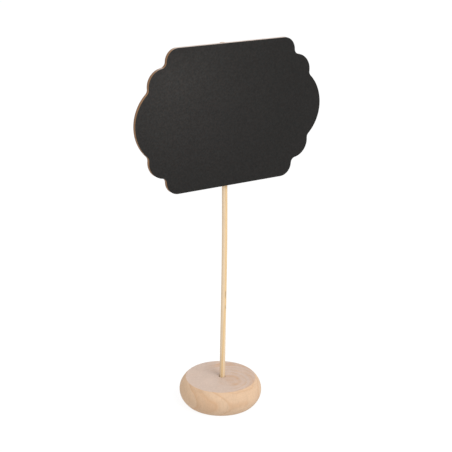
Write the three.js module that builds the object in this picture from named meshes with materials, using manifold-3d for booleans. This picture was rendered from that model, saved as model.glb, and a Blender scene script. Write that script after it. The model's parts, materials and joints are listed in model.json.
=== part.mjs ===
// Tabletop chalkboard sign: a scalloped writing board on a round bamboo stick that stands
// in a drilled hole in a turned wooden base. Millimetres, +Z up. The origin is under the
// middle of the base, and the board's writing face looks along -Y.

import * as THREE from 'three';
import { mergeVertices } from 'three/addons/utils/BufferGeometryUtils.js';
import Module from 'manifold-3d';

const wasm = await Module();
wasm.setup();

// ---- driving dimensions ----

const BASE_DIAMETER = 61; // across the widest part of the bulging side
const BASE_HEIGHT = 19;
const BULGE_REACH = 16; // radial half axis of the side's elliptical arc
const BULGE_ANGLE = 44.5; // degrees of that arc above and below mid height

const STICK_DIAMETER = 4;
const STICK_BOW = 0.9; // how far the bamboo curves towards +X half way up
const STICK_LEAN = 4; // how far its top end has bent over towards -X
const STICK_END_CHAMFER = 0.3;
const STICK_TOP_DROP = 0.4; // from the board's top edge down to the stick's top end
const HOLE_DEPTH = 13;
const HOLE_OFFSET = 1.5; // the hole is drilled this far off the base's middle, towards +X
const HOLE_CLEARANCE = 0.3; // all round the stick
const HOLE_MOUTH_CHAMFER = 0.4;

const BOARD_WIDTH = 150;
const BOARD_HEIGHT = 100;
const BOARD_UNDERSIDE = 169.5; // height of the board's lower edge over the table
const BOARD_SHIFT = 1.1; // the board is glued this far off the stick's foot, towards +X
const PANEL_THICKNESS = 2.7;
const SURFACE_THICKNESS = 0.3;

// Each quarter of the outline is three round lobes, joined by small hollow fillets. The
// lobes keep their distances to the board's own edges.
const SIDE_RADIUS = 29;
const SHOULDER_RADIUS = 12;
const SHOULDER_INSET = 10.2; // in from the board's side edge
const SHOULDER_DROP = 12.5; // down from the board's top edge
const CORNER_RADIUS = 9;
const CORNER_INSET = 23.7; // in from the board's side edge
const FILLET_RADIUS = 4;

const BEAD_REACH = 2.4; // how far a glue bead spreads on the panel beside the stick
const BEAD_CREEP = 1; // how far it creeps in under the stick's side
const BEAD_CLIMB = 1.8; // how far it climbs the stick's side
const BEAD_MARGIN = 8; // bare stick between a bead's end and the board's edge
const BEAD_GAP = 0.3; // round the stick

const BASE_FACETS = 72;
const BULGE_FACETS = 10;
const STICK_FACETS = 24;
const BEND_STATIONS = 26; // steps along a bent piece
const ARC_STEP = 7; // degrees for each facet of the outline

// ---- sizes that follow from them ----

const stickRadius = STICK_DIAMETER / 2;
const holeFloor = BASE_HEIGHT - HOLE_DEPTH;
const boardTop = BOARD_UNDERSIDE + BOARD_HEIGHT;
const stickTop = boardTop - STICK_TOP_DROP;
const panelBack = -stickRadius - BEAD_GAP;
const panelFront = panelBack - PANEL_THICKNESS;

// ---- shared shape code ----

function toSolid(geometry) {
  const bare = geometry.clone();
  bare.deleteAttribute('normal');
  bare.deleteAttribute('uv');
  const merged = mergeVertices(bare);
  const vertProperties = new Float32Array(merged.attributes.position.array);
  const triVerts = new Uint32Array(merged.index.array);
  return new wasm.Manifold(new wasm.Mesh({ numProp: 3, vertProperties, triVerts }));
}

function toGeometry(solid) {
  const mesh = solid.getMesh();
  const geometry = new THREE.BufferGeometry();
  geometry.setAttribute('position', new THREE.BufferAttribute(mesh.vertProperties, 3));
  geometry.setIndex(new THREE.BufferAttribute(mesh.triVerts, 1));
  geometry.computeVertexNormals();
  return geometry;
}

// A profile of (radius, height) pairs turned about Z.
function turned(profile, facets) {
  const points = profile.map(([radius, height]) => new THREE.Vector2(radius, height));
  return new THREE.LatheGeometry(points, facets).rotateX(Math.PI / 2);
}

// The bamboo's sideways bend: upright in the hole, a bow on the way up, and a lean that
// grows towards the top end.
function bendAt(height) {
  const share = THREE.MathUtils.clamp((height - BASE_HEIGHT) / (stickTop - BASE_HEIGHT), 0, 1);
  return STICK_BOW * Math.sin(Math.PI * share) ** 2 - STICK_LEAN * share ** 2;
}

// Shifts each level of an upright piece sideways with the bend.
function bent(geometry) {
  const position = geometry.attributes.position;
  for (let i = 0; i < position.count; i += 1) {
    position.setX(i, position.getX(i) + bendAt(position.getZ(i)));
  }
  return geometry;
}

// ---- base ----

// A round puck with a flat top and underside and a bulging side that meets them in an edge.
function baseGeometry() {
  const halfAngle = THREE.MathUtils.degToRad(BULGE_ANGLE);
  const rise = BASE_HEIGHT / 2 / Math.sin(halfAngle);
  const arcCentre = BASE_DIAMETER / 2 - BULGE_REACH;
  const profile = [[0, 0]];
  for (let i = 0; i <= BULGE_FACETS; i += 1) {
    const angle = THREE.MathUtils.lerp(-halfAngle, halfAngle, i / BULGE_FACETS);
    const height = BASE_HEIGHT / 2 + rise * Math.sin(angle);
    profile.push([arcCentre + BULGE_REACH * Math.cos(angle), height]);
  }
  profile.push([0, BASE_HEIGHT]);
  return toGeometry(toSolid(turned(profile, BASE_FACETS)).subtract(holeTool()));
}

// The blind hole with its eased mouth. The tool stands out over the top so that it cuts clean.
function holeTool() {
  const radius = stickRadius + HOLE_CLEARANCE;
  const overshoot = 1;
  const profile = [
    [0, holeFloor],
    [radius, holeFloor],
    [radius, BASE_HEIGHT - HOLE_MOUTH_CHAMFER],
    [radius + HOLE_MOUTH_CHAMFER + overshoot, BASE_HEIGHT + overshoot],
    [0, BASE_HEIGHT + overshoot],
  ];
  return toSolid(turned(profile, STICK_FACETS).translate(HOLE_OFFSET, 0, 0));
}

// ---- stick ----

// A round rod from the hole's floor to its top end, bent, with both ends eased.
function rod(radius, chamfer) {
  const profile = [[0, holeFloor], [radius - chamfer, holeFloor]];
  const low = holeFloor + STICK_END_CHAMFER;
  const high = stickTop - STICK_END_CHAMFER;
  for (let i = 0; i <= BEND_STATIONS; i += 1) {
    profile.push([radius, THREE.MathUtils.lerp(low, high, i / BEND_STATIONS)]);
  }
  profile.push([radius - chamfer, stickTop], [0, stickTop]);
  return bent(turned(profile, STICK_FACETS));
}

function stickGeometry() {
  return rod(stickRadius, STICK_END_CHAMFER);
}

// ---- board ----

function heading(from, to) {
  return Math.atan2(to.y - from.y, to.x - from.x);
}

// The hollow fillet that touches two lobes from outside, on the outline's outer side.
function filletBetween(lower, upper) {
  const reachLower = lower.radius + FILLET_RADIUS;
  const reachUpper = upper.radius + FILLET_RADIUS;
  const line = upper.centre.clone().sub(lower.centre);
  const apart = line.length();
  const along = (reachLower ** 2 - reachUpper ** 2 + apart ** 2) / (2 * apart);
  const aside = Math.sqrt(reachLower ** 2 - along ** 2);
  line.normalize();
  const outward = new THREE.Vector2(line.y, -line.x);
  const centre = lower.centre.clone().addScaledVector(line, along).addScaledVector(outward, aside);
  return { centre, radius: FILLET_RADIUS };
}

function arcPoints({ centre, radius }, start, end) {
  const degrees = THREE.MathUtils.radToDeg(Math.abs(end - start));
  const count = Math.max(2, Math.ceil(degrees / ARC_STEP));
  const points = [];
  for (let i = 0; i <= count; i += 1) {
    const angle = THREE.MathUtils.lerp(start, end, i / count);
    const offset = new THREE.Vector2(Math.cos(angle), Math.sin(angle)).multiplyScalar(radius);
    points.push(offset.add(centre));
  }
  return points;
}

// A fillet runs backwards, from the side that faces one lobe to the side that faces the
// next. The lobes already give its two end points.
function filletPoints(fillet, lower, upper) {
  const start = heading(fillet.centre, lower.centre);
  const end = heading(fillet.centre, upper.centre);
  const turn = THREE.MathUtils.euclideanModulo(end - start + Math.PI, 2 * Math.PI) - Math.PI;
  return arcPoints(fillet, start, start + turn).slice(1, -1);
}

// From the middle of the board's side up to the straight top edge.
function quarterOutline() {
  const halfWidth = BOARD_WIDTH / 2;
  const halfHeight = BOARD_HEIGHT / 2;
  const lobe = (x, y, radius) => ({ centre: new THREE.Vector2(x, y), radius });
  const side = lobe(halfWidth - SIDE_RADIUS, 0, SIDE_RADIUS);
  const shoulder = lobe(
    halfWidth - SHOULDER_INSET - SHOULDER_RADIUS,
    halfHeight - SHOULDER_DROP - SHOULDER_RADIUS,
    SHOULDER_RADIUS,
  );
  const corner = lobe(
    halfWidth - CORNER_INSET - CORNER_RADIUS,
    halfHeight - CORNER_RADIUS,
    CORNER_RADIUS,
  );
  const low = filletBetween(side, shoulder);
  const high = filletBetween(shoulder, corner);
  const shoulderStart = heading(shoulder.centre, low.centre);
  const shoulderEnd = heading(shoulder.centre, high.centre);
  return [
    ...arcPoints(side, 0, heading(side.centre, low.centre)),
    ...filletPoints(low, side, shoulder),
    ...arcPoints(shoulder, shoulderStart, shoulderEnd),
    ...filletPoints(high, shoulder, corner),
    ...arcPoints(corner, heading(corner.centre, high.centre), Math.PI / 2),
  ];
}

// One quarter mirrored left to right and top to bottom.
function boardOutline() {
  const quarter = quarterOutline();
  const back = [...quarter].reverse().slice(0, -1);
  const mirrored = (points, x, y) => points.map((p) => new THREE.Vector2(p.x * x, p.y * y));
  return [
    ...quarter,
    ...mirrored(back, -1, 1),
    ...mirrored(quarter, -1, -1),
    ...mirrored(back, 1, -1),
  ];
}

// An upright sheet of the board's outline between two depths.
function sheetGeometry(front, back) {
  const shape = new THREE.Shape(boardOutline());
  const geometry = new THREE.ExtrudeGeometry(shape, { depth: back - front, bevelEnabled: false });
  geometry.rotateX(Math.PI / 2);
  return geometry.translate(BOARD_SHIFT, back, BOARD_UNDERSIDE + BOARD_HEIGHT / 2);
}

// ---- glue ----

// A fillet of glue along one side of the stick, from the panel's back up the bamboo.
function beadGeometry(side) {
  const inner = side * (stickRadius - BEAD_CREEP);
  const flank = side * stickRadius;
  const foot = side * (stickRadius + BEAD_REACH);
  const crest = panelBack + BEAD_CLIMB;
  const section = new THREE.Shape();
  section.moveTo(inner, panelBack);
  section.lineTo(foot, panelBack);
  section.quadraticCurveTo(flank + side * BEAD_GAP, panelBack, flank, crest);
  section.lineTo(inner, crest);
  const geometry = new THREE.ExtrudeGeometry(section, {
    depth: BOARD_HEIGHT - 2 * BEAD_MARGIN,
    steps: BEND_STATIONS,
    curveSegments: 5,
    bevelEnabled: false,
  });
  geometry.translate(0, 0, BOARD_UNDERSIDE + BEAD_MARGIN);
  const clearance = rod(stickRadius + BEAD_GAP, 0);
  return toGeometry(toSolid(bent(geometry)).subtract(toSolid(clearance)));
}

// ---- materials and assembly ----

function material(color, roughness, metalness = 0) {
  return new THREE.MeshStandardMaterial({ color, roughness, metalness });
}

function named(name, geometry, finish) {
  const mesh = new THREE.Mesh(geometry, finish);
  mesh.name = name;
  return mesh;
}

// The turning body, built about the stick's foot and set over the hole.
function sign() {
  const group = new THREE.Group();
  group.name = 'sign';
  group.position.x = HOLE_OFFSET;
  const surfaceFront = panelFront - SURFACE_THICKNESS;
  group.add(named('stick', stickGeometry(), material(0xe6cdab, 0.6)));
  group.add(named('board_panel', sheetGeometry(panelFront, panelBack), material(0x8a6a52, 0.85)));
  group.add(named('writing_surface', sheetGeometry(surfaceFront, panelFront), material(0x343433, 0.7)));
  group.add(named('glue_bead_left', beadGeometry(-1), material(0xe9e2cf, 0.35)));
  group.add(named('glue_bead_right', beadGeometry(1), material(0xe9e2cf, 0.35)));
  return group;
}

const model = new THREE.Group();
model.add(named('base', baseGeometry(), material(0xdcbca0, 0.7)));
model.add(sign());

export default model;
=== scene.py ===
"""Looks for a small tabletop chalkboard sign: base, stick, board, glue and studio."""

import json
import math

import bmesh
import bpy
from bpy.props import FloatProperty, FloatVectorProperty, PointerProperty
from mathutils import Matrix, Vector, noise


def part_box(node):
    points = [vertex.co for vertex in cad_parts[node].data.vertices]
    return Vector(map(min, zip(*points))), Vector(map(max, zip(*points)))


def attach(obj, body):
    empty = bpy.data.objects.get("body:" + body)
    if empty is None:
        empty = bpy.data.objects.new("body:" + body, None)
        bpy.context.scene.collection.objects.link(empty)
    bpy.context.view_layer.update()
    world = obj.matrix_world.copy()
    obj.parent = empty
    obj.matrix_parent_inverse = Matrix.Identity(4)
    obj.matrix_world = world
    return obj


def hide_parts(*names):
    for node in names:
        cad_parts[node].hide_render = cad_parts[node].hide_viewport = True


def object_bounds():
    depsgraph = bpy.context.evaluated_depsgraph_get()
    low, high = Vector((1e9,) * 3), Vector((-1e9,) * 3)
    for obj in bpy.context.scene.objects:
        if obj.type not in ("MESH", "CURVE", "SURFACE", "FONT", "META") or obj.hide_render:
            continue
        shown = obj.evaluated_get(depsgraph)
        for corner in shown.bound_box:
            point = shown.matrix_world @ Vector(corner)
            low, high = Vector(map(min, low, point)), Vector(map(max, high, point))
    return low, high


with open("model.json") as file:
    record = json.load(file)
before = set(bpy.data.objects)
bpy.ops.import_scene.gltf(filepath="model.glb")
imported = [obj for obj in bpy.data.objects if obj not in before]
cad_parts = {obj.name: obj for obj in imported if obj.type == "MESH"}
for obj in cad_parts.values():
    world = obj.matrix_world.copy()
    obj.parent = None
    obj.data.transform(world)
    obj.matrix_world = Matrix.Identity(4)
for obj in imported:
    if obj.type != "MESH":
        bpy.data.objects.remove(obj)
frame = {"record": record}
CAD_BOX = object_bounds()
CAD_NODES = ("base", "stick", "board_panel", "writing_surface", "glue_bead_left", "glue_bead_right")
BOXES = {node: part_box(node) for node in CAD_NODES}
# The stick stands and turns about this line, a little to one side of the base's middle.
HOLE_X = frame["record"]["behaviour"]["joints"][0]["pos_m"][0]

bl_info = {
    "name": "Tabletop Chalkboard Sign",
    "version": (1, 0, 0),
    "blender": (4, 5, 0),
    "location": "3D View > Sidebar > Chalkboard Sign",
    "description": "Builds the finished pieces of a small chalkboard sign around its fixed frame",
    "category": "Add Mesh",
}

MM = 0.001


# ---- sizes and colours a user would change ----


def length(name, description, default):
    return FloatProperty(
        name=name, description=description, default=default, min=0, subtype="DISTANCE", unit="LENGTH"
    )


def length_signed(name, description, default):
    return FloatProperty(
        name=name, description=description, default=default, subtype="DISTANCE", unit="LENGTH"
    )


def angle(name, description, degrees):
    return FloatProperty(
        name=name, description=description, default=math.radians(degrees), subtype="ANGLE"
    )


def colour(name, description, default):
    return FloatVectorProperty(
        name=name, description=description, default=(*default, 1), size=4, min=0, max=1, subtype="COLOR"
    )


class BaseProps(bpy.types.PropertyGroup):
    bulge_reach: length("Bulge Reach", "Radial half axis of the side's elliptical arc", 16 * MM)
    bulge_angle: angle("Bulge Angle", "How far that arc runs above and below mid height", 44.5)
    crease: length("Crease", "Rounding of the edge between the flat top and the side", 0.45 * MM)
    foot_ease: length("Foot Ease", "Rounding of the edge it stands on", 0.8 * MM)
    hole_clearance: length("Hole Clearance", "Mean room round the stick in its hole", 0.31 * MM)
    hole_shift_x: length_signed("Hole Shift X", "From the stick's middle across to the hole's", -0.12 * MM)
    hole_shift_y: length_signed("Hole Shift Y", "From the stick's middle along to the hole's", 0.11 * MM)
    hole_ease: length("Hole Ease", "Rounding of the hole's mouth", 0.35 * MM)
    pith_x: length_signed("Pith X", "Where the stem's pith lies across the base", 2 * MM)
    pith_y: length_signed("Pith Y", "Where the stem's pith lies along the base", -9.3 * MM)
    side_colour: colour("Side Colour", "Long grain of the turned side", (0.522, 0.371, 0.250))
    top_colour: colour("Top Colour", "Sanded end grain of the flat top", (0.468, 0.366, 0.306))
    # This colour also paints shade along the crease and at the foot.
    ring_and_shade_colour: colour("Ring Colour", "Late wood of the growth rings", (0.42, 0.235, 0.12))


class StickProps(bpy.types.PropertyGroup):
    bow: length("Bow", "How far the bamboo curves sideways half way up", 0.9 * MM)
    lean: length("Lean", "How far its top end has bent over to the other side", 4 * MM)
    fibre_relief: length("Fibre Relief", "Depth of the long ridges that the fibres leave", 0.025 * MM)
    end_ease: length("End Ease", "Rounding of the cut ends", 0.3 * MM)
    scar_height: length("Scar Height", "Height of the dark scar over the table", 85.5 * MM)
    pale_colour: colour("Pale Colour", "Pale fibres", (0.630, 0.486, 0.326))
    warm_colour: colour("Warm Colour", "Yellow fibres", (0.590, 0.412, 0.214))
    # This colour also paints shade down one side of the stick, besides the fibre bundles.
    bundle_and_shade_colour: colour("Dark Colour", "Fibre bundles and the duller side", (0.40, 0.275, 0.18))


class BoardProps(bpy.types.PropertyGroup):
    side_radius: length("Side Radius", "Large lobe at each side", 29 * MM)
    shoulder_radius: length("Shoulder Radius", "Middle lobe", 12 * MM)
    shoulder_inset: length("Shoulder Inset", "From the side edge in to the middle lobe", 10.2 * MM)
    shoulder_drop: length("Shoulder Drop", "From the top edge down to the middle lobe", 12.5 * MM)
    corner_radius: length("Corner Radius", "Lobe at each corner", 9 * MM)
    corner_inset: length("Corner Inset", "From the side edge in to the corner lobe", 23.7 * MM)
    fillet_radius: length("Fillet Radius", "Hollow between two lobes", 4 * MM)
    edge_ease: length("Edge Ease", "Rounding of the cut edges", 0.14 * MM)
    chalk_colour: colour("Chalkboard Colour", "Black writing surface", (0.0118, 0.0117, 0.0113))
    core_colour: colour("Core Colour", "Cut edge of the fibreboard near its face", (0.228, 0.128, 0.066))
    skin_colour: colour("Skin Colour", "Pressed back of the fibreboard", (0.142, 0.074, 0.045))


class GlueProps(bpy.types.PropertyGroup):
    reach: length("Reach", "How far a bead spreads on the panel beside the stick", 2.1 * MM)
    climb: length("Climb", "How far it climbs the stick's side", 1.7 * MM)
    colour: colour("Colour", "Set glue", (0.74, 0.69, 0.55))


class StudioProps(bpy.types.PropertyGroup):
    azimuth: angle("Azimuth", "Camera's turn round the sign", -32.8966)
    elevation: angle("Elevation", "How far the camera looks down", 19.3828)
    roll: angle("Roll", "Camera's tilt about its view", 0.9559)
    camera_place: FloatVectorProperty(
        name="Camera Place",
        description="Where the camera stands",
        default=(-0.41626, -0.64756, 0.40870),
        subtype="TRANSLATION",
        unit="LENGTH",
    )
    focal_length: FloatProperty(
        name="Focal Length", description="Lens in millimetres on a 36 mm frame", default=91.402
    )
    key_power: FloatProperty(name="Key Power", description="Main soft light", default=31, unit="POWER")
    fill_level: FloatProperty(name="Fill Level", description="Even light from all round", default=1.0)
    floor_colour: colour("Floor Colour", "Share of the light that the table returns", (0.10, 0.10, 0.10))
    floor_glow: FloatProperty(
        name="Floor Glow", description="Even light from under the white table", default=0.90
    )


class SignProps(bpy.types.PropertyGroup):
    base: PointerProperty(type=BaseProps, name="Base", description="Turned base")
    stick: PointerProperty(type=StickProps, name="Stick", description="Bamboo stick")
    board: PointerProperty(type=BoardProps, name="Board", description="Panel and writing surface")
    glue: PointerProperty(type=GlueProps, name="Glue", description="Glue beads")
    studio: PointerProperty(type=StudioProps, name="Studio", description="Floor, lights and camera")


# ---- places, all worked out from the frame ----


def stick_radius():
    low, high = BOXES["stick"]
    return (high.y - low.y) / 2


def bend_at(height, props):
    """Where the bamboo's middle lies sideways: over the hole, with a bow and a lean that grows upwards."""
    start = BOXES["base"][1].z
    share = min(max((height - start) / (BOXES["stick"][1].z - start), 0), 1)
    return HOLE_X + props.bow * math.sin(math.pi * share) ** 2 - props.lean * share**2


# ---- mesh code ----


class Skin:
    """Closed loops of equal point count, skinned in order, each with its values for the named masks."""

    def __init__(self, count):
        self.count = count
        self.verts = []
        self.faces = []
        self.masks = {}

    def loop(self, points, **masks):
        start = len(self.verts)
        self.verts.extend(points)
        for name, value in masks.items():
            self.masks.setdefault(name, {})[start] = value
        if start:
            for i in range(self.count):
                j = (i + 1) % self.count
                a, b = start - self.count + i, start - self.count + j
                self.faces.append((a, b, b + self.count, a + self.count))

    def mask_values(self, name):
        starts = self.masks[name]
        values = []
        for start in range(0, len(self.verts), self.count):
            value = starts[start]
            values.extend(value if isinstance(value, list) else [value] * self.count)
        return values

    def build(self, name, sharp=40):
        """Caps both ends and makes the object. Edges that turn by more than sharp degrees stay crisp."""
        last = len(self.verts) - self.count
        first_cap = tuple(range(self.count - 1, -1, -1))
        last_cap = tuple(range(last, last + self.count))
        mesh = bpy.data.meshes.new(name)
        mesh.from_pydata([tuple(v) for v in self.verts], [], [*self.faces, first_cap, last_cap])
        for mask in self.masks:
            attribute = mesh.attributes.new(mask, "FLOAT", "POINT")
            attribute.data.foreach_set("value", self.mask_values(mask))
        shell = bmesh.new()
        shell.from_mesh(mesh)
        bmesh.ops.recalc_face_normals(shell, faces=shell.faces)
        shell.to_mesh(mesh)
        shell.free()
        mesh.shade_smooth()
        mesh.set_sharp_from_angle(angle=math.radians(sharp))
        piece = bpy.data.objects.new(name, mesh)
        bpy.context.scene.collection.objects.link(piece)
        return piece


def eased(corner, before, after, radius, steps=5):
    """Points that round a profile's corner with an arc touching both of its lines."""
    corner, before, after = Vector(corner), Vector(before), Vector(after)
    one, two = (before - corner).normalized(), (after - corner).normalized()
    half = one.angle(two) / 2
    reach = radius / math.tan(half)
    centre = corner + (one + two).normalized() * (radius / math.sin(half))
    start = corner + one * reach - centre
    end = corner + two * reach - centre
    sweep = start.angle_signed(end)
    return [centre + rotated(start, -sweep * i / steps) for i in range(steps + 1)]


def rotated(vector, turn):
    c, s = math.cos(turn), math.sin(turn)
    return Vector((vector.x * c - vector.y * s, vector.x * s + vector.y * c))


def directions(count):
    """Level unit vectors, evenly spaced all round."""
    turns = [2 * math.pi * i / count for i in range(count)]
    return [Vector((math.cos(turn), math.sin(turn), 0)) for turn in turns]


# ---- base ----


def side_arc(props):
    """Radius and height of the bulging side, from the foot's edge up to the top's."""
    low, high = BOXES["base"]
    top = high.z
    centre = (high.x - low.x) / 2 - props.bulge_reach
    rise = top / 2 / math.sin(props.bulge_angle)
    steps = 44
    arc = []
    for i in range(steps + 1):
        turn = props.bulge_angle * (2 * i / steps - 1)
        out = props.bulge_reach * math.cos(turn)
        arc.append(Vector((centre + out, top / 2 + rise * math.sin(turn))))
    return arc


def base_profile(props):
    """Points with their flat top mask and share of the hole's shift, from the foot to the hole's floor."""
    low, high = BOXES["base"]
    top = high.z
    outer = (high.x - low.x) / 2
    hole = stick_radius() + props.hole_clearance
    floor = BOXES["stick"][0].z
    crease_steps = 7
    top_steps = 10
    mouth_steps = 5
    wall_steps = 6
    arc = side_arc(props)
    profile = [(point, 0, 0) for point in eased(arc[0], (0, 0), arc[1], props.foot_ease)]
    profile += [(point, 0, 0) for point in arc[2:-2]]
    crease = eased(arc[-1], arc[-2], (0, top), props.crease, crease_steps)
    profile += [(point, i / crease_steps, 0) for i, point in enumerate(crease)]
    edge = crease[-1].x
    span = hole + props.hole_ease * 2 - edge
    for i in range(1, top_steps):
        profile.append((Vector((edge + span * i / top_steps, top)), 1, i / top_steps))
    mouth = eased((hole, top), (outer, top), (hole, floor), props.hole_ease, mouth_steps)
    profile += [(point, 1 - i / mouth_steps, 1) for i, point in enumerate(mouth)]
    start = mouth[-1].y
    for i in range(1, wall_steps + 1):
        profile.append((Vector((hole, start + (floor - start) * i / wall_steps)), 0, 1))
    return profile


def build_base(props):
    around = directions(192)
    skin = Skin(len(around))
    shift = Vector((HOLE_X + props.hole_shift_x, props.hole_shift_y, 0))
    for point, flat, share in base_profile(props):
        centre = shift * share + Vector((0, 0, point.y))
        skin.loop([centre + point.x * away for away in around], flat_top=float(flat))
    return skin.build("turned_base", sharp=50)


# ---- stick ----


def rod_levels(low, high, radius, ease):
    """Height and radius of each loop of a rod with eased ends."""
    stations = 190
    turns = (0, 0.4, 0.8, 1.2)
    end = [(ease * (1 - math.cos(turn)), radius - ease * (1 - math.sin(turn))) for turn in turns]
    span = high - low - 2 * ease
    levels = [(low + rise, size) for rise, size in end]
    levels += [(low + ease + span * i / stations, radius) for i in range(stations + 1)]
    levels += [(high - rise, size) for rise, size in reversed(end)]
    return levels


def fibre_dip(away, height, props):
    """Depth of the hollows between the fibres, as a length below zero. It is less at the scar."""
    ridges_round = 3.1
    ridge_length = 22 * MM
    scar_reach = 5 * MM
    sample = Vector((away.x * ridges_round, away.y * ridges_round, height / ridge_length))
    ridge = 0.5 * (noise.noise(sample) - 0.55) + 0.22 * noise.noise(sample * 3.3)
    swell = 0.5 * math.exp(-(((height - props.scar_height) / scar_reach) ** 2)) - 0.5
    return min(0, 1.4 * ridge + swell) * props.fibre_relief


def build_stick(props):
    """A round rod with the long ridges of its fibres, a slight swelling at its scar and eased ends."""
    low, high = BOXES["stick"]
    around = directions(48)
    skin = Skin(len(around))
    straight = []
    for height, size in rod_levels(low.z, high.z, stick_radius(), props.end_ease):
        middle = bend_at(height, props)
        points = []
        for away in around:
            point = away * (size + fibre_dip(away, height, props))
            straight += [point.x, point.y, height]
            points.append(Vector((point.x + middle, point.y, height)))
        skin.loop(points)
    piece = skin.build("bamboo_stick")
    grain = piece.data.attributes.new("straight", "FLOAT_VECTOR", "POINT")
    grain.data.foreach_set("vector", straight)
    return piece


# ---- board ----


class Lobe:
    """One arc of the outline, by its centre and radius."""

    def __init__(self, x, y, radius):
        self.centre = Vector((x, y))
        self.radius = radius

    def towards(self, other):
        line = other.centre - self.centre
        return math.atan2(line.y, line.x)

    def points(self, start, end, step=math.radians(3), fewest=3):
        count = max(fewest, math.ceil(abs(end - start) / step))
        turns = [start + (end - start) * i / count for i in range(count + 1)]
        return [self.centre + self.radius * Vector((math.cos(turn), math.sin(turn))) for turn in turns]


def fillet_between(lower, upper, radius):
    """The hollow arc that touches two lobes from outside, on the outline's outer side."""
    one, two = lower.radius + radius, upper.radius + radius
    line = upper.centre - lower.centre
    apart = line.length
    along = (one**2 - two**2 + apart**2) / (2 * apart)
    aside = math.sqrt(one**2 - along**2)
    line.normalize()
    centre = lower.centre + along * line + aside * Vector((line.y, -line.x))
    return Lobe(centre.x, centre.y, radius)


def hollow_points(fillet, lower, upper):
    start = fillet.towards(lower)
    turn = (fillet.towards(upper) - start + math.pi) % (2 * math.pi) - math.pi
    return fillet.points(start, start + turn)[1:-1]


def board_outline(props):
    """The scalloped outline round the board's middle, anticlockwise seen from the front."""
    low, high = BOXES["board_panel"]
    half_width, half_height = (high.x - low.x) / 2, (high.z - low.z) / 2
    side = Lobe(half_width - props.side_radius, 0, props.side_radius)
    shoulder = Lobe(
        half_width - props.shoulder_inset - props.shoulder_radius,
        half_height - props.shoulder_drop - props.shoulder_radius,
        props.shoulder_radius,
    )
    corner = Lobe(
        half_width - props.corner_inset - props.corner_radius,
        half_height - props.corner_radius,
        props.corner_radius,
    )
    first = fillet_between(side, shoulder, props.fillet_radius)
    second = fillet_between(shoulder, corner, props.fillet_radius)
    quarter = side.points(0, side.towards(first))
    quarter += hollow_points(first, side, shoulder)
    quarter += shoulder.points(shoulder.towards(first), shoulder.towards(second))
    quarter += hollow_points(second, shoulder, corner)
    quarter += corner.points(corner.towards(second), math.pi / 2)
    straight = 12
    run = quarter[-1].x
    quarter += [Vector((run * (1 - i / straight), half_height)) for i in range(1, straight + 1)]
    back = quarter[-2:0:-1]
    outline = quarter + [Vector((-p.x, p.y)) for p in back]
    outline += [Vector((-p.x, -p.y)) for p in quarter[:-1]]
    outline += [Vector((0, -half_height))] + [Vector((p.x, -p.y)) for p in back]
    return outline


def outward(outline):
    """Unit vectors that point out of the outline at each of its points."""
    count = len(outline)
    result = []
    for i in range(count):
        along = (outline[(i + 1) % count] - outline[i - 1]).normalized()
        result.append(Vector((along.y, -along.x)))
    return result


def sheet(name, props, front, back, profile):
    """A sheet of the outline. Each profile entry is (inset from the outline, depth share, rim mask)."""
    low, high = BOXES["board_panel"]
    middle = (low + high) / 2
    outline = board_outline(props)
    normals = outward(outline)
    steepness = 14
    facing_up = [max(0.0, normal.y) ** steepness for normal in normals]
    skin = Skin(len(outline))
    for inset, depth, rim in profile:
        loop = []
        for point, normal in zip(outline, normals):
            place = point - normal * inset
            loop.append(Vector((middle.x + place.x, front + (back - front) * depth, middle.z + place.y)))
        skin.loop(loop, rim=float(rim), upward=[rim * share for share in facing_up])
    return skin.build(name, sharp=60)


def quarter_round(radius, thickness, at_front):
    """Profile entries of a rounded edge: out from the front face, or in to the back face."""
    steps = 4
    arc = []
    for i in range(steps + 1):
        turn = math.pi / 2 * i / steps
        arc.append((radius * (1 - math.sin(turn)), radius * (1 - math.cos(turn)) / thickness))
    if at_front:
        return [(inset, depth, 1) for inset, depth in arc]
    return [(inset, 1 - depth, 1) for inset, depth in reversed(arc)]


def build_panel(props):
    low, high = BOXES["board_panel"]
    edge_levels = (0.2, 0.4, 0.6, 0.8)
    profile = [(5 * MM, 0, 0), (1 * MM, 0, 0.4), (0, 0, 1)]
    profile += [(0, level, 1) for level in edge_levels]
    profile += quarter_round(props.edge_ease, high.y - low.y, False)
    profile += [(1.2 * MM, 1, 0.3), (3 * MM, 1, 0)]
    return sheet("fibreboard_panel", props, low.y, high.y, profile)


def build_writing_surface(props):
    low, high = BOXES["writing_surface"]
    profile = [(3 * MM, 0, 0), (1.6 * MM, 0, 0.15), (0.6 * MM, 0, 0.6)]
    profile += quarter_round(props.edge_ease, high.y - low.y, True)
    profile += [(0, 1, 1), (3 * MM, 1, 0)]
    return sheet("chalkboard_face", props, low.y, high.y, profile)


# ---- glue ----


# How many steps a bead's section takes up its face, and how many back in round the bamboo.
BEAD_STEPS = 6


def bead_section(side, props, height, swell, middle):
    """One cross-section: out along the panel, up the bead's face, and back in round the bamboo."""
    gap = 0.04 * MM
    lift = 0.15 * MM
    radius = stick_radius() + gap
    plane = BOXES["board_panel"][1].y
    reach, climb = props.reach * swell, props.climb * (0.55 + 0.45 * swell)
    foot = Vector((radius + reach, plane))
    crest_y = plane + climb
    crest = Vector((math.sqrt(max(radius**2 - crest_y**2, 0)), crest_y))
    fullness = Vector((0.12, -0.05)) * reach
    bulge = (foot + crest) / 2 + fullness
    shares = [i / BEAD_STEPS for i in range(BEAD_STEPS + 1)]
    face = [foot.lerp(bulge, t).lerp(bulge.lerp(crest, t), t) for t in shares]
    start = math.atan2(crest.y, crest.x)
    end = math.atan2(plane + lift, radius * 0.6)
    turns = [start + (end - start) * i / BEAD_STEPS for i in range(1, BEAD_STEPS + 1)]
    inner = [Vector((math.cos(turn), math.sin(turn))) * radius for turn in turns]
    points = [Vector((inner[-1].x, plane)), Vector((radius, plane)), *face, *inner]
    return [Vector((middle + side * p.x, p.y, height)) for p in points]


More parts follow.
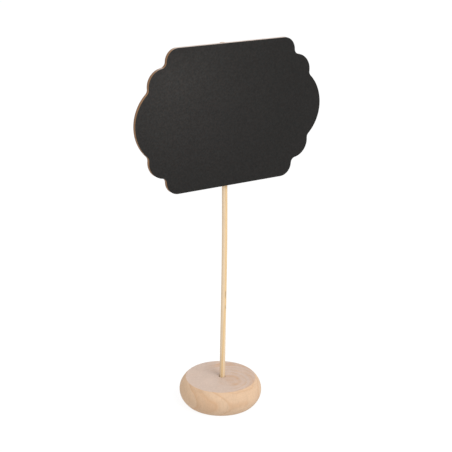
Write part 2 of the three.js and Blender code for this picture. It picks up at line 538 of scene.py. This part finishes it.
def bead_swell(side, share, height):
    """How full a bead is at a share of its length: lumpy along it, and tapering at both ends."""
    lump_length = 7 * MM
    ripple_length = 2.2 * MM
    end_steepness = 22
    lumps = 0.5 + 0.5 * noise.noise(Vector((side * 7.3, 0.4, height / lump_length)))
    ripple = noise.noise(Vector((side * 3.1, 9.2, height / ripple_length)))
    taper = min(1, math.sqrt(max(0.0, min(share, 1 - share)) * end_steepness) + 0.12)
    return min(1, 0.62 + 0.3 * lumps + 0.07 * ripple) * taper


def build_bead(name, side, props, stick):
    low, high = BOXES[name]
    stations = 84
    skin = Skin(2 * BEAD_STEPS + 3)
    for i in range(stations + 1):
        share = i / stations
        height = low.z + (high.z - low.z) * share
        swell = bead_swell(side, share, height)
        skin.loop(bead_section(side, props, height, swell, bend_at(height, stick)))
    return skin.build(name.replace("glue_bead", "set_glue"), sharp=60)


# ---- shader node code ----


# Factors that keep only the level part of a place, or only its height.
LEVEL = (1, 1, 0)
UPRIGHT = (0, 0, 1)


class Nodes:
    """Adds nodes to a tree. Inputs are sockets or plain values, by name or by number."""

    def __init__(self, tree):
        self.tree = tree

    def add(self, kind, inputs, **settings):
        node = self.tree.nodes.new(kind)
        for key, value in settings.items():
            setattr(node, key, value)
        self.connect(node, inputs)
        return node

    def connect(self, node, inputs):
        """Links or sets the inputs of a node."""
        for key, value in inputs.items():
            if isinstance(value, bpy.types.NodeSocket):
                self.tree.links.new(value, node.inputs[key])
            else:
                node.inputs[key].default_value = value

    def group(self, tree, **inputs):
        node = self.add("ShaderNodeGroup", {}, node_tree=tree)
        self.connect(node, {key.title(): value for key, value in inputs.items()})
        return node.outputs

    def math(self, operation, a, b=0.0):
        return self.add("ShaderNodeMath", {0: a, 1: b}, operation=operation).outputs[0]

    def plus(self, a, b):
        return self.math("ADD", a, b)

    def minus(self, a, b):
        return self.math("SUBTRACT", a, b)

    def times(self, a, b):
        return self.math("MULTIPLY", a, b)

    def apart(self, a, b):
        return self.math("ABSOLUTE", self.minus(a, b))

    def vector(self, operation, a, b=(0, 0, 0)):
        return self.add("ShaderNodeVectorMath", {0: a, 1: b}, operation=operation).outputs

    def stretch(self, vector, factors):
        return self.vector("MULTIPLY", vector, factors)["Vector"]

    def along(self, vector, direction):
        return self.vector("DOT_PRODUCT", vector, direction)["Value"]

    def from_point(self, place, point, factors):
        """Distance from a point, with each axis stretched by its factor."""
        away = self.vector("SUBTRACT", place, point)["Vector"]
        return self.vector("LENGTH", self.stretch(away, factors))["Value"]

    def split(self, vector):
        return self.add("ShaderNodeSeparateXYZ", {0: vector}).outputs

    def noise(self, vector, scale, detail=2.0, roughness=0.5):
        inputs = {"Vector": vector, "Scale": scale, "Detail": detail, "Roughness": roughness}
        return self.add("ShaderNodeTexNoise", inputs).outputs[0]

    def sway(self, value, noise, reach):
        """The value pushed up and down by a noise, by half of the reach at most."""
        return self.plus(value, self.times(self.minus(noise, 0.5), reach))

    def remap(self, value, low, high, to_low=0.0, to_high=1.0, smooth=False):
        inputs = {"Value": value, "From Min": low, "From Max": high, "To Min": to_low, "To Max": to_high}
        kind = "SMOOTHSTEP" if smooth else "LINEAR"
        return self.add("ShaderNodeMapRange", inputs, interpolation_type=kind).outputs[0]

    def vary(self, noise, low, high):
        """A noise, most of which lies between 0.3 and 0.7, as a value from low to high."""
        return self.remap(noise, 0.3, 0.7, low, high)

    def between(self, share, low, high):
        """A share from 0 to 1 as a value from low to high."""
        return self.remap(share, 0, 1, low, high)

    def ramp(self, value, stops):
        node = self.add("ShaderNodeValToRGB", {0: value})
        elements = node.color_ramp.elements
        while len(elements) < len(stops):
            elements.new(1.0)
        for element, (position, tone) in zip(elements, stops):
            element.position = position
            element.color = (tone, tone, tone, 1)
        return self.add("ShaderNodeSeparateColor", {0: node.outputs[0]}).outputs[0]

    def blend(self, share, a, b, kind="MIX"):
        mix = self.add("ShaderNodeMix", {0: share, 6: a, 7: b}, data_type="RGBA", blend_type=kind)
        return mix.outputs[2]

    def shaded(self, colour, factor):
        """The colour made lighter or darker by one factor."""
        grey = self.add("ShaderNodeCombineColor", {0: factor, 1: factor, 2: factor}).outputs[0]
        return self.blend(1.0, colour, grey, "MULTIPLY")

    def bump(self, height, depth):
        inputs = {"Height": height, "Distance": depth, "Strength": 1.0}
        return self.add("ShaderNodeBump", inputs).outputs[0]

    def attribute(self, name, output="Fac"):
        return self.add("ShaderNodeAttribute", {}, attribute_name=name).outputs[output]

    def place(self):
        return self.add("ShaderNodeTexCoord", {}).outputs["Object"]


def effect(name, inputs, outputs, fill):
    """A shader node group made once: fill(nodes, input sockets) returns its output sockets in order."""
    tree = bpy.data.node_groups.get(name)
    if tree:
        return tree
    tree = bpy.data.node_groups.new(name, "ShaderNodeTree")
    for socket, kind, default in inputs:
        made = tree.interface.new_socket(socket, in_out="INPUT", socket_type=kind)
        if default is not None:
            made.default_value = default
    for socket in outputs:
        tree.interface.new_socket(socket, in_out="OUTPUT", socket_type="NodeSocketFloat")
    way_in = tree.nodes.new("NodeGroupInput")
    way_out = tree.nodes.new("NodeGroupOutput")
    for socket, made in zip(way_out.inputs, fill(Nodes(tree), way_in.outputs)):
        tree.links.new(made, socket)
    return tree


def fibre_effect():
    """Long fibres that run along Z: Fibres is the broad variation, Threads the fine one."""

    def fill(nodes, given):
        slow = nodes.math("DIVIDE", 1.0, given["Length"])
        squeeze = nodes.add("ShaderNodeCombineXYZ", {0: 1.0, 1: 1.0, 2: slow}).outputs[0]
        along = nodes.stretch(given["Vector"], squeeze)
        fibres = nodes.noise(along, given["Scale"], detail=3, roughness=0.55)
        threads = nodes.noise(along, nodes.times(given["Scale"], 4.7), roughness=0.6)
        return fibres, threads

    inputs = [
        ("Vector", "NodeSocketVector", None),
        ("Scale", "NodeSocketFloat", 900.0),
        ("Length", "NodeSocketFloat", 20.0),
    ]
    return effect("Long Fibres", inputs, ("Fibres", "Threads"), fill)


def fleck_effect():
    """Small scattered flecks, such as pores, specks and pits."""

    def fill(nodes, given):
        inputs = {"Vector": given["Vector"], "Scale": given["Scale"]}
        cells = nodes.add("ShaderNodeTexVoronoi", inputs)
        near = nodes.remap(cells.outputs["Distance"], given["Size"], 0.0)
        lot = nodes.add("ShaderNodeSeparateColor", {0: cells.outputs["Color"]}).outputs[0]
        chosen = nodes.math("LESS_THAN", lot, given["Amount"])
        return (nodes.times(near, chosen),)

    inputs = [
        ("Vector", "NodeSocketVector", None),
        ("Scale", "NodeSocketFloat", 1500.0),
        ("Size", "NodeSocketFloat", 0.4),
        ("Amount", "NodeSocketFloat", 0.5),
    ]
    return effect("Flecks", inputs, ("Mask",), fill)


def mottle_effect():
    """Soft uneven tone over a surface, at two scales."""

    def fill(nodes, given):
        broad = nodes.noise(given["Vector"], given["Scale"])
        close = nodes.noise(given["Vector"], nodes.times(given["Scale"], 5.3), detail=3, roughness=0.6)
        tone = nodes.plus(nodes.times(broad, 0.62), nodes.times(close, 0.38))
        return (nodes.remap(tone, 0.32, 0.68),)

    inputs = [("Vector", "NodeSocketVector", None), ("Scale", "NodeSocketFloat", 40.0)]
    return effect("Mottle", inputs, ("Tone",), fill)


def wear_and_shade_effect():
    """Edges rubbed where the tone is strong; on the base it paints shade along the crease instead. Rim is
    1 at the edge, and Falloff keeps the mark near it.
    """

    def fill(nodes, given):
        edge = nodes.math("POWER", given["Rim"], given["Falloff"])
        patch = nodes.remap(given["Tone"], given["Start"], 1.0)
        return (nodes.times(nodes.times(edge, patch), given["Amount"]),)

    inputs = [
        ("Rim", "NodeSocketFloat", 0.0),
        ("Tone", "NodeSocketFloat", 0.5),
        ("Start", "NodeSocketFloat", 0.4),
        ("Falloff", "NodeSocketFloat", 1.0),
        ("Amount", "NodeSocketFloat", 0.1),
    ]
    return effect("Edge Wear And Shade", inputs, ("Mask",), fill)


def new_material(name):
    """A material, the code that adds nodes to it, and its Principled shader."""
    material = bpy.data.materials.new(name)
    material.use_nodes = True
    shader = material.node_tree.nodes["Principled BSDF"]
    return material, Nodes(material.node_tree), shader


def feed(nodes, shader, **sockets):
    """Links or sets the shader's inputs by name."""
    nodes.connect(shader, {key.replace("_", " "): value for key, value in sockets.items()})


# ---- materials ----


# How dark the wood is, by distance in millimetres from the pith.
RING_TONES = (
    (0, 0.36), (3.0, 0.38), (3.7, 0.46), (4.3, 0.28), (6.4, 0.42), (7.4, 0.60), (8.2, 0.36), (9.0, 0.46),
    (9.8, 0.10), (12.2, 0.14), (13.0, 0.42), (13.5, 0.06), (14.8, 0.06), (16.0, 0.24), (17.5, 0.28),
    (18.1, 0.58), (18.6, 0.14), (21.3, 0.14), (22.0, 0.66), (22.4, 0.04), (24.8, 0.14), (25.7, 0.60),
    (26.2, 0.36), (27.5, 0.34), (28.9, 0.42), (29.6, 0.66), (30.1, 0.06), (35.0, 0.16), (40.0, 0.36),
)
RING_SPAN = RING_TONES[-1][0]

# The side of the sanded top on which its rings show clearly.
CLEAR_SIDE = (0.84, -0.30, 0)

# The way across the bamboo, from its side with painted shade to the other.
BAMBOO_ACROSS = (0.8425, -0.5384, 0)

SCAR_BROWN = (0.16, 0.12, 0.09, 1)
CUT_END_BROWN = (0.30, 0.19, 0.13, 1)
SPECK_TAN = (0.42, 0.28, 0.17, 1)
# Colour of the painted highlight on the board's top edge.
HIGHLIGHT_PALE = (0.62, 0.54, 0.50, 1)
# Colour of the painted sheen on the chalkboard.
SHEEN_GREY = (0.185, 0.18, 0.175, 1)
WARM_CAST = (1.22, 0.98, 0.88, 1)
CHALK_DUST = (0.22, 0.21, 0.195, 1)
RUBBED_EDGE = (0.16, 0.125, 0.10, 1)
CLOUDY_GLUE = (0.62, 0.52, 0.34, 1)
BUBBLE_WHITE = (0.9, 0.88, 0.8, 1)


def late_wood(nodes, props, place, tone, top, side):
    """How much late wood shows: rings round an upright pith, clearest on one side of the sanded top."""
    warp = nodes.noise(nodes.stretch(place, (1, 1, 0.35)), scale=60)
    distance = nodes.from_point(place, (props.pith_x, props.pith_y, 0), LEVEL)
    ring = nodes.sway(distance, warp, 4.5 * MM)
    stops = [(radius / RING_SPAN, dark) for radius, dark in RING_TONES]
    late = nodes.ramp(nodes.math("DIVIDE", ring, RING_SPAN * MM), stops)
    late = nodes.times(late, nodes.between(tone, 0.50, 1.02))
    outwards = nodes.add("ShaderNodeCombineXYZ", {0: ring}).outputs[0]
    thin = nodes.noise(outwards, scale=700, roughness=0.7)
    late = nodes.plus(late, nodes.remap(thin, 0.35, 0.7, 0, 0.14))
    broken = nodes.noise(nodes.stretch(place, LEVEL), scale=130)
    swirl = nodes.remap(broken, 0.35, 0.62, 0.55, 1.3)
    late = nodes.times(late, nodes.plus(side, nodes.times(top, swirl)))
    across = nodes.sway(nodes.along(place, CLEAR_SIDE), warp, 30 * MM)
    clear = nodes.remap(across, -7 * MM, 9 * MM, 0.12, 1.15, smooth=True)
    return nodes.times(late, nodes.plus(side, nodes.times(top, clear)))


def turned_wood(props):
    """Pale wood turned from a stem: end grain on its flat top, long grain on its side, with painted shade
    along the crease and at the foot.
    """
    material, nodes, shader = new_material("Turned Pale Wood")
    place = nodes.place()
    top = nodes.attribute("flat_top")
    side = nodes.minus(1.0, top)
    tone = nodes.group(mottle_effect(), vector=place, scale=70.0)["Tone"]
    fibres = nodes.group(fibre_effect(), vector=place, scale=860.0, length=4.5)
    long_pores = nodes.stretch(place, (1, 1, 0.07))
    pores = nodes.group(fleck_effect(), vector=long_pores, scale=1500.0, size=0.34, amount=0.55)["Mask"]
    late = late_wood(nodes, props, place, tone, top, side)
    colour = nodes.blend(top, props.side_colour, props.top_colour)
    colour = nodes.blend(nodes.times(late, 0.95), colour, props.ring_and_shade_colour)
    rim = nodes.times(top, side)
    # Painted shade: a dark line along the crease between the flat top and the side.
    crease = nodes.group(wear_and_shade_effect(), rim=rim, tone=tone, start=-1.0, falloff=1.0, amount=1.0)["Mask"]
    # Painted shade: the side darkens a little towards its foot, where it meets the floor.
    foot = nodes.remap(nodes.split(place)["Z"], 2.6 * MM, 0.3 * MM, smooth=True)
    foot_shade = nodes.times(foot, 0.05)
    colour = nodes.blend(nodes.plus(crease, foot_shade), colour, props.ring_and_shade_colour)
    shade = nodes.vary(fibres["Fibres"], 0.945, 1.055)
    shade = nodes.times(shade, nodes.vary(fibres["Threads"], 0.95, 1.05))
    shade = nodes.times(shade, nodes.between(tone, 0.96, 1.06))
    shade = nodes.minus(shade, nodes.times(pores, 0.17))
    colour = nodes.shaded(colour, shade)
    relief = nodes.minus(nodes.times(fibres["Threads"], 0.6), pores)
    turning = nodes.noise(nodes.stretch(place, UPRIGHT), scale=2600, roughness=0.6)
    relief = nodes.plus(relief, nodes.times(turning, nodes.times(side, 0.5)))
    rough = nodes.vary(fibres["Fibres"], 0.62, 0.78)
    bump = nodes.bump(relief, depth=0.05 * MM)
    feed(nodes, shader, Base_Color=colour, Roughness=rough, Normal=bump, Specular_IOR_Level=0.28)
    return material


def bamboo(props):
    """Bare bamboo: pale, with a yellow band, painted shade down one side, dark bundles, scars and a brown
    top end.
    """
    material, nodes, shader = new_material("Bare Bamboo")
    place = nodes.attribute("straight", "Vector")
    across = nodes.along(place, BAMBOO_ACROSS)
    height = nodes.split(place)["Z"]
    wander = nodes.noise(nodes.stretch(place, UPRIGHT), scale=45, detail=1)
    drift = nodes.remap(height, 20 * MM, 80 * MM, -0.3 * MM, 1.1 * MM)
    drift = nodes.plus(drift, nodes.vary(wander, -0.25 * MM, 0.25 * MM))
    band = nodes.remap(nodes.apart(across, drift), 0.9 * MM, 0.3 * MM, smooth=True)
    # Painted shade: one side of the stick is darkened towards the dark colour.
    side_shade = nodes.remap(across, -1.3 * MM, -1.8 * MM, 0, 0.34, smooth=True)
    fibres = nodes.group(fibre_effect(), vector=place, scale=1500.0, length=60.0)
    bundles = nodes.remap(fibres["Fibres"], 0.54, 0.66)
    top = BOXES["stick"][1].z
    cut_end = nodes.remap(height, top - 0.5 * MM, top - 0.2 * MM, 0, 0.6)
    colour = nodes.blend(band, props.pale_colour, props.warm_colour)
    colour = nodes.blend(side_shade, colour, props.bundle_and_shade_colour)
    colour = nodes.blend(nodes.times(bundles, 0.34), colour, props.bundle_and_shade_colour)
    colour = nodes.blend(scar_mask(nodes, place, props), colour, SCAR_BROWN)
    colour = nodes.blend(cut_end, colour, CUT_END_BROWN)
    colour = nodes.shaded(colour, nodes.vary(fibres["Threads"], 0.94, 1.05))
    relief = nodes.plus(fibres["Fibres"], nodes.times(fibres["Threads"], 0.4))
    rough = nodes.vary(fibres["Fibres"], 0.42, 0.60)
    bump = nodes.bump(relief, depth=0.04 * MM)
    feed(nodes, shader, Base_Color=colour, Roughness=rough, Normal=bump, Specular_IOR_Level=0.3)
    return material


def scar_mask(nodes, place, props):
    """Two thin upright scars on the bamboo's front, one over the other, ragged at their ends."""
    middle = 0.35 * MM
    lower_height = props.scar_height - 10 * MM
    parts = nodes.split(place)
    ragged = nodes.noise(nodes.stretch(place, (1, 1, 0.2)), scale=900)
    from_upper = nodes.apart(parts["Z"], props.scar_height)
    from_lower = nodes.apart(parts["Z"], lower_height)
    upper = nodes.remap(from_upper, 4 * MM, 1.5 * MM, smooth=True)
    lower = nodes.remap(from_lower, 2 * MM, 0.5 * MM, 0, 0.6, smooth=True)
    width = nodes.remap(nodes.apart(parts["X"], middle), 0.6 * MM, 0.15 * MM)
    front = nodes.remap(parts["Y"], -0.8 * MM, -1.4 * MM)
    mask = nodes.times(nodes.times(nodes.plus(upper, lower), width), front)
    return nodes.times(mask, nodes.remap(ragged, 0.35, 0.6, 0.45, 1.0))


def fibreboard(props):
    """Raw pressed fibreboard: a speckled core in the cut edge, a darker back, and a painted highlight on
    its top edge.
    """
    material, nodes, shader = new_material("Raw Fibreboard")
    place = nodes.place()
    low, high = BOXES["board_panel"]
    skin_start = low.y + (high.y - low.y) * 0.35
    skin = nodes.remap(nodes.split(place)["Y"], skin_start, high.y, smooth=True)
    tone = nodes.group(mottle_effect(), vector=place, scale=90.0)["Tone"]
    hair = nodes.noise(nodes.stretch(place, (1, 2.5, 1)), scale=2100, detail=4, roughness=0.7)
    specks = nodes.group(fleck_effect(), vector=place, scale=1300.0, size=0.42, amount=0.4)["Mask"]
    rim = nodes.attribute("rim")
    worn = nodes.group(wear_and_shade_effect(), rim=rim, tone=tone, start=0.45, falloff=1.0, amount=0.20)["Mask"]
    # Painted highlight: the upward-facing edge is made pale, as if lit strongly from above.
    top_edge_highlight = nodes.times(nodes.attribute("upward"), nodes.between(tone, 0.55, 0.85))
    colour = nodes.blend(skin, props.core_colour, props.skin_colour)
    colour = nodes.blend(nodes.times(specks, 0.35), colour, SPECK_TAN)
    shade = nodes.times(nodes.vary(hair, 0.80, 1.18), nodes.between(tone, 0.93, 1.07))
    colour = nodes.shaded(colour, nodes.plus(shade, worn))
    colour = nodes.blend(top_edge_highlight, colour, HIGHLIGHT_PALE)
    rough = nodes.vary(hair, 0.72, 0.92)
    bump = nodes.bump(hair, depth=0.06 * MM)
    feed(nodes, shader, Base_Color=colour, Roughness=rough, Normal=bump, Specular_IOR_Level=0.2)
    return material


def chalkboard(props):
    """Matte black coating: a painted sheen towards one corner, a fine tooth, and edges rubbed a little
    paler.
    """
    material, nodes, shader = new_material("Chalkboard Black")
    low, high = BOXES["writing_surface"]
    place = nodes.place()
    tone = nodes.group(mottle_effect(), vector=place, scale=30.0)["Tone"]
    tooth = nodes.group(mottle_effect(), vector=place, scale=820.0)["Tone"]
    dust = nodes.group(fleck_effect(), vector=place, scale=420.0, size=0.16, amount=0.16)["Mask"]
    # Painted sheen: the black is made paler towards the upper corner, as a reflection of the light would
    # make it.
    sheen_inset = 22 * MM
    sheen_reach = 115 * MM
    corner = (low.x + sheen_inset, low.y, high.z - sheen_inset)
    painted_sheen = nodes.remap(nodes.from_point(place, corner, (1, 1, 1.2)), sheen_reach, 0.0)
    painted_sheen = nodes.times(nodes.math("POWER", painted_sheen, 1.6), nodes.between(tone, 0.86, 1.06))
    colour = nodes.blend(nodes.times(painted_sheen, 0.068), props.chalk_colour, SHEEN_GREY)
    shade = nodes.times(nodes.between(tone, 0.95, 1.04), nodes.between(tooth, 0.72, 1.30))
    colour = nodes.shaded(colour, shade)
    warm = nodes.blend(1.0, colour, WARM_CAST, "MULTIPLY")
    tint = nodes.remap(nodes.noise(place, scale=900), 0.40, 0.60, 0, 0.5)
    colour = nodes.blend(tint, colour, warm)
    colour = nodes.blend(nodes.times(dust, 0.06), colour, CHALK_DUST)
    rim = nodes.attribute("rim")
    rubbed = nodes.group(wear_and_shade_effect(), rim=rim, tone=tone, start=0.4, falloff=3.0, amount=0.08)["Mask"]
    colour = nodes.blend(rubbed, colour, RUBBED_EDGE)
    rough = nodes.between(tone, 0.52, 0.62)
    bump = nodes.bump(tooth, depth=0.02 * MM)
    feed(nodes, shader, Base_Color=colour, Roughness=rough, Normal=bump, Specular_IOR_Level=0.10)
    return material


def set_glue(props):
    """Set glue: cloudy and satin, with small trapped bubbles."""
    material, nodes, shader = new_material("Set Glue")
    place = nodes.place()
    tone = nodes.group(mottle_effect(), vector=place, scale=160.0)["Tone"]
    bubbles = nodes.group(fleck_effect(), vector=place, scale=900.0, size=0.3, amount=0.3)["Mask"]
    colour = nodes.blend(nodes.between(tone, 0.0, 0.5), props.colour, CLOUDY_GLUE)
    colour = nodes.blend(nodes.times(bubbles, 0.4), colour, BUBBLE_WHITE)
    relief = nodes.plus(tone, nodes.times(bubbles, 0.5))
    rough = nodes.between(tone, 0.22, 0.40)
    bump = nodes.bump(relief, depth=0.03 * MM)
    feed(nodes, shader, Base_Color=colour, Roughness=rough, Normal=bump, Subsurface_Weight=0.25)
    feed(nodes, shader, Subsurface_Radius=(2 * MM, 1.4 * MM, 0.8 * MM))
    return material


def pale_floor(props):
    """White table that is lit from below, so that it stays pale under the sign."""
    material, nodes, shader = new_material("Pale Floor")
    rough = nodes.vary(nodes.noise(nodes.place(), scale=3.0), 0.85, 0.95)
    feed(nodes, shader, Base_Color=props.floor_colour, Roughness=rough, Specular_IOR_Level=0.1)
    feed(nodes, shader, Emission_Color=(1, 1, 1, 1), Emission_Strength=props.floor_glow)
    return material


# ---- operators ----


def finish_piece(piece, material, node, body):
    piece.data.materials.append(material)
    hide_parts(node)
    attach(piece, body)


class BuildBase(bpy.types.Operator):
    """Turned wooden base with its drilled hole"""

    bl_idname = "sign.build_base"
    bl_label = "Turned Base"

    def execute(self, context):
        props = context.scene.sign.base
        finish_piece(build_base(props), turned_wood(props), "base", "stand")
        return {"FINISHED"}


class BuildStick(bpy.types.Operator):
    """Bamboo stick, slightly bowed and leaning at its top end"""

    bl_idname = "sign.build_stick"
    bl_label = "Bamboo Stick"

    def execute(self, context):
        props = context.scene.sign.stick
        finish_piece(build_stick(props), bamboo(props), "stick", "sign")
        return {"FINISHED"}


class BuildPanel(bpy.types.Operator):
    """Scalloped fibreboard panel"""

    bl_idname = "sign.build_panel"
    bl_label = "Fibreboard Panel"

    def execute(self, context):
        props = context.scene.sign.board
        finish_piece(build_panel(props), fibreboard(props), "board_panel", "sign")
        return {"FINISHED"}


class BuildWritingSurface(bpy.types.Operator):
    """Black writing surface on the panel's front"""

    bl_idname = "sign.build_writing_surface"
    bl_label = "Writing Surface"

    def execute(self, context):
        props = context.scene.sign.board
        piece = build_writing_surface(props)
        finish_piece(piece, chalkboard(props), "writing_surface", "sign")
        return {"FINISHED"}


class BuildGlue(bpy.types.Operator):
    """Glue beads on both sides of the stick"""

    bl_idname = "sign.build_glue"
    bl_label = "Glue Beads"

    def execute(self, context):
        props = context.scene.sign.glue
        material = set_glue(props)
        for side, node in ((-1, "glue_bead_left"), (1, "glue_bead_right")):
            piece = build_bead(node, side, props, context.scene.sign.stick)
            finish_piece(piece, material, node, "sign")
        return {"FINISHED"}


class BuildStudio(bpy.types.Operator):
    """Plain floor, soft light and the camera"""

    bl_idname = "sign.build_studio"
    bl_label = "Studio"

    def execute(self, context):
        props = context.scene.sign.studio
        build_floor(props)
        build_lights(props)
        build_camera(props)
        context.scene.view_settings.view_transform = "Standard"
        return {"FINISHED"}


def build_floor(props):
    half = 6.0
    mesh = bpy.data.meshes.new("floor")
    corners = [(-half, -half, 0), (half, -half, 0), (half, half, 0), (-half, half, 0)]
    mesh.from_pydata(corners, [], [(0, 1, 2, 3)])
    mesh.materials.append(pale_floor(props))
    floor = bpy.data.objects.new("floor", mesh)
    bpy.context.scene.collection.objects.link(floor)


def build_lights(props):
    """Even light from all round, and one large soft lamp in front, above and a little to the right."""
    world = bpy.data.worlds.new("Soft Studio")
    world.use_nodes = True
    background = world.node_tree.nodes["Background"]
    background.inputs["Color"].default_value = (1, 1, 1, 1)
    background.inputs["Strength"].default_value = props.fill_level
    bpy.context.scene.world = world
    place = Vector((0.27, -1.58, 1.5))
    target = Vector((0, 0, CAD_BOX[1].z / 2))
    light = bpy.data.lights.new("key", "AREA")
    light.shape = "DISK"
    light.size = 1.5
    light.energy = props.key_power
    lamp = bpy.data.objects.new("key", light)
    lamp.location = place
    lamp.rotation_euler = (target - place).to_track_quat("-Z", "Y").to_euler()
    bpy.context.scene.collection.objects.link(lamp)


def build_camera(props):
    data = bpy.data.cameras.new("camera")
    data.sensor_width = 36
    data.lens = props.focal_length
    data.clip_start = 0.01
    data.clip_end = 50
    camera = bpy.data.objects.new("camera", data)
    turn = Matrix.Rotation(props.azimuth, 3, "Z")
    tilt = Matrix.Rotation(math.pi / 2 - props.elevation, 3, "X")
    roll = Matrix.Rotation(props.roll, 3, "Z")
    camera.location = props.camera_place
    camera.rotation_euler = (turn @ tilt @ roll).to_euler()
    bpy.context.scene.collection.objects.link(camera)
    bpy.context.scene.camera = camera


OPERATORS = (BuildBase, BuildStick, BuildPanel, BuildWritingSurface, BuildGlue, BuildStudio)


class SignPanel(bpy.types.Panel):
    """Lists the sign's pieces"""

    bl_idname = "SIGN_PT_pieces"
    bl_label = "Chalkboard Sign"
    bl_space_type = "VIEW_3D"
    bl_region_type = "UI"
    bl_category = "Chalkboard Sign"

    def draw(self, context):
        for operator in OPERATORS:
            self.layout.operator(operator.bl_idname)


CLASSES = (BaseProps, StickProps, BoardProps, GlueProps, StudioProps, SignProps, *OPERATORS, SignPanel)


def register():
    for item in CLASSES:
        bpy.utils.register_class(item)
    bpy.types.Scene.sign = PointerProperty(type=SignProps)


def unregister():
    del bpy.types.Scene.sign
    for item in reversed(CLASSES):
        bpy.utils.unregister_class(item)


def main():
    register()
    for operator in OPERATORS:
        group, name = operator.bl_idname.split(".")
        getattr(getattr(bpy.ops, group), name)()


if __name__ == "__main__":
    main()
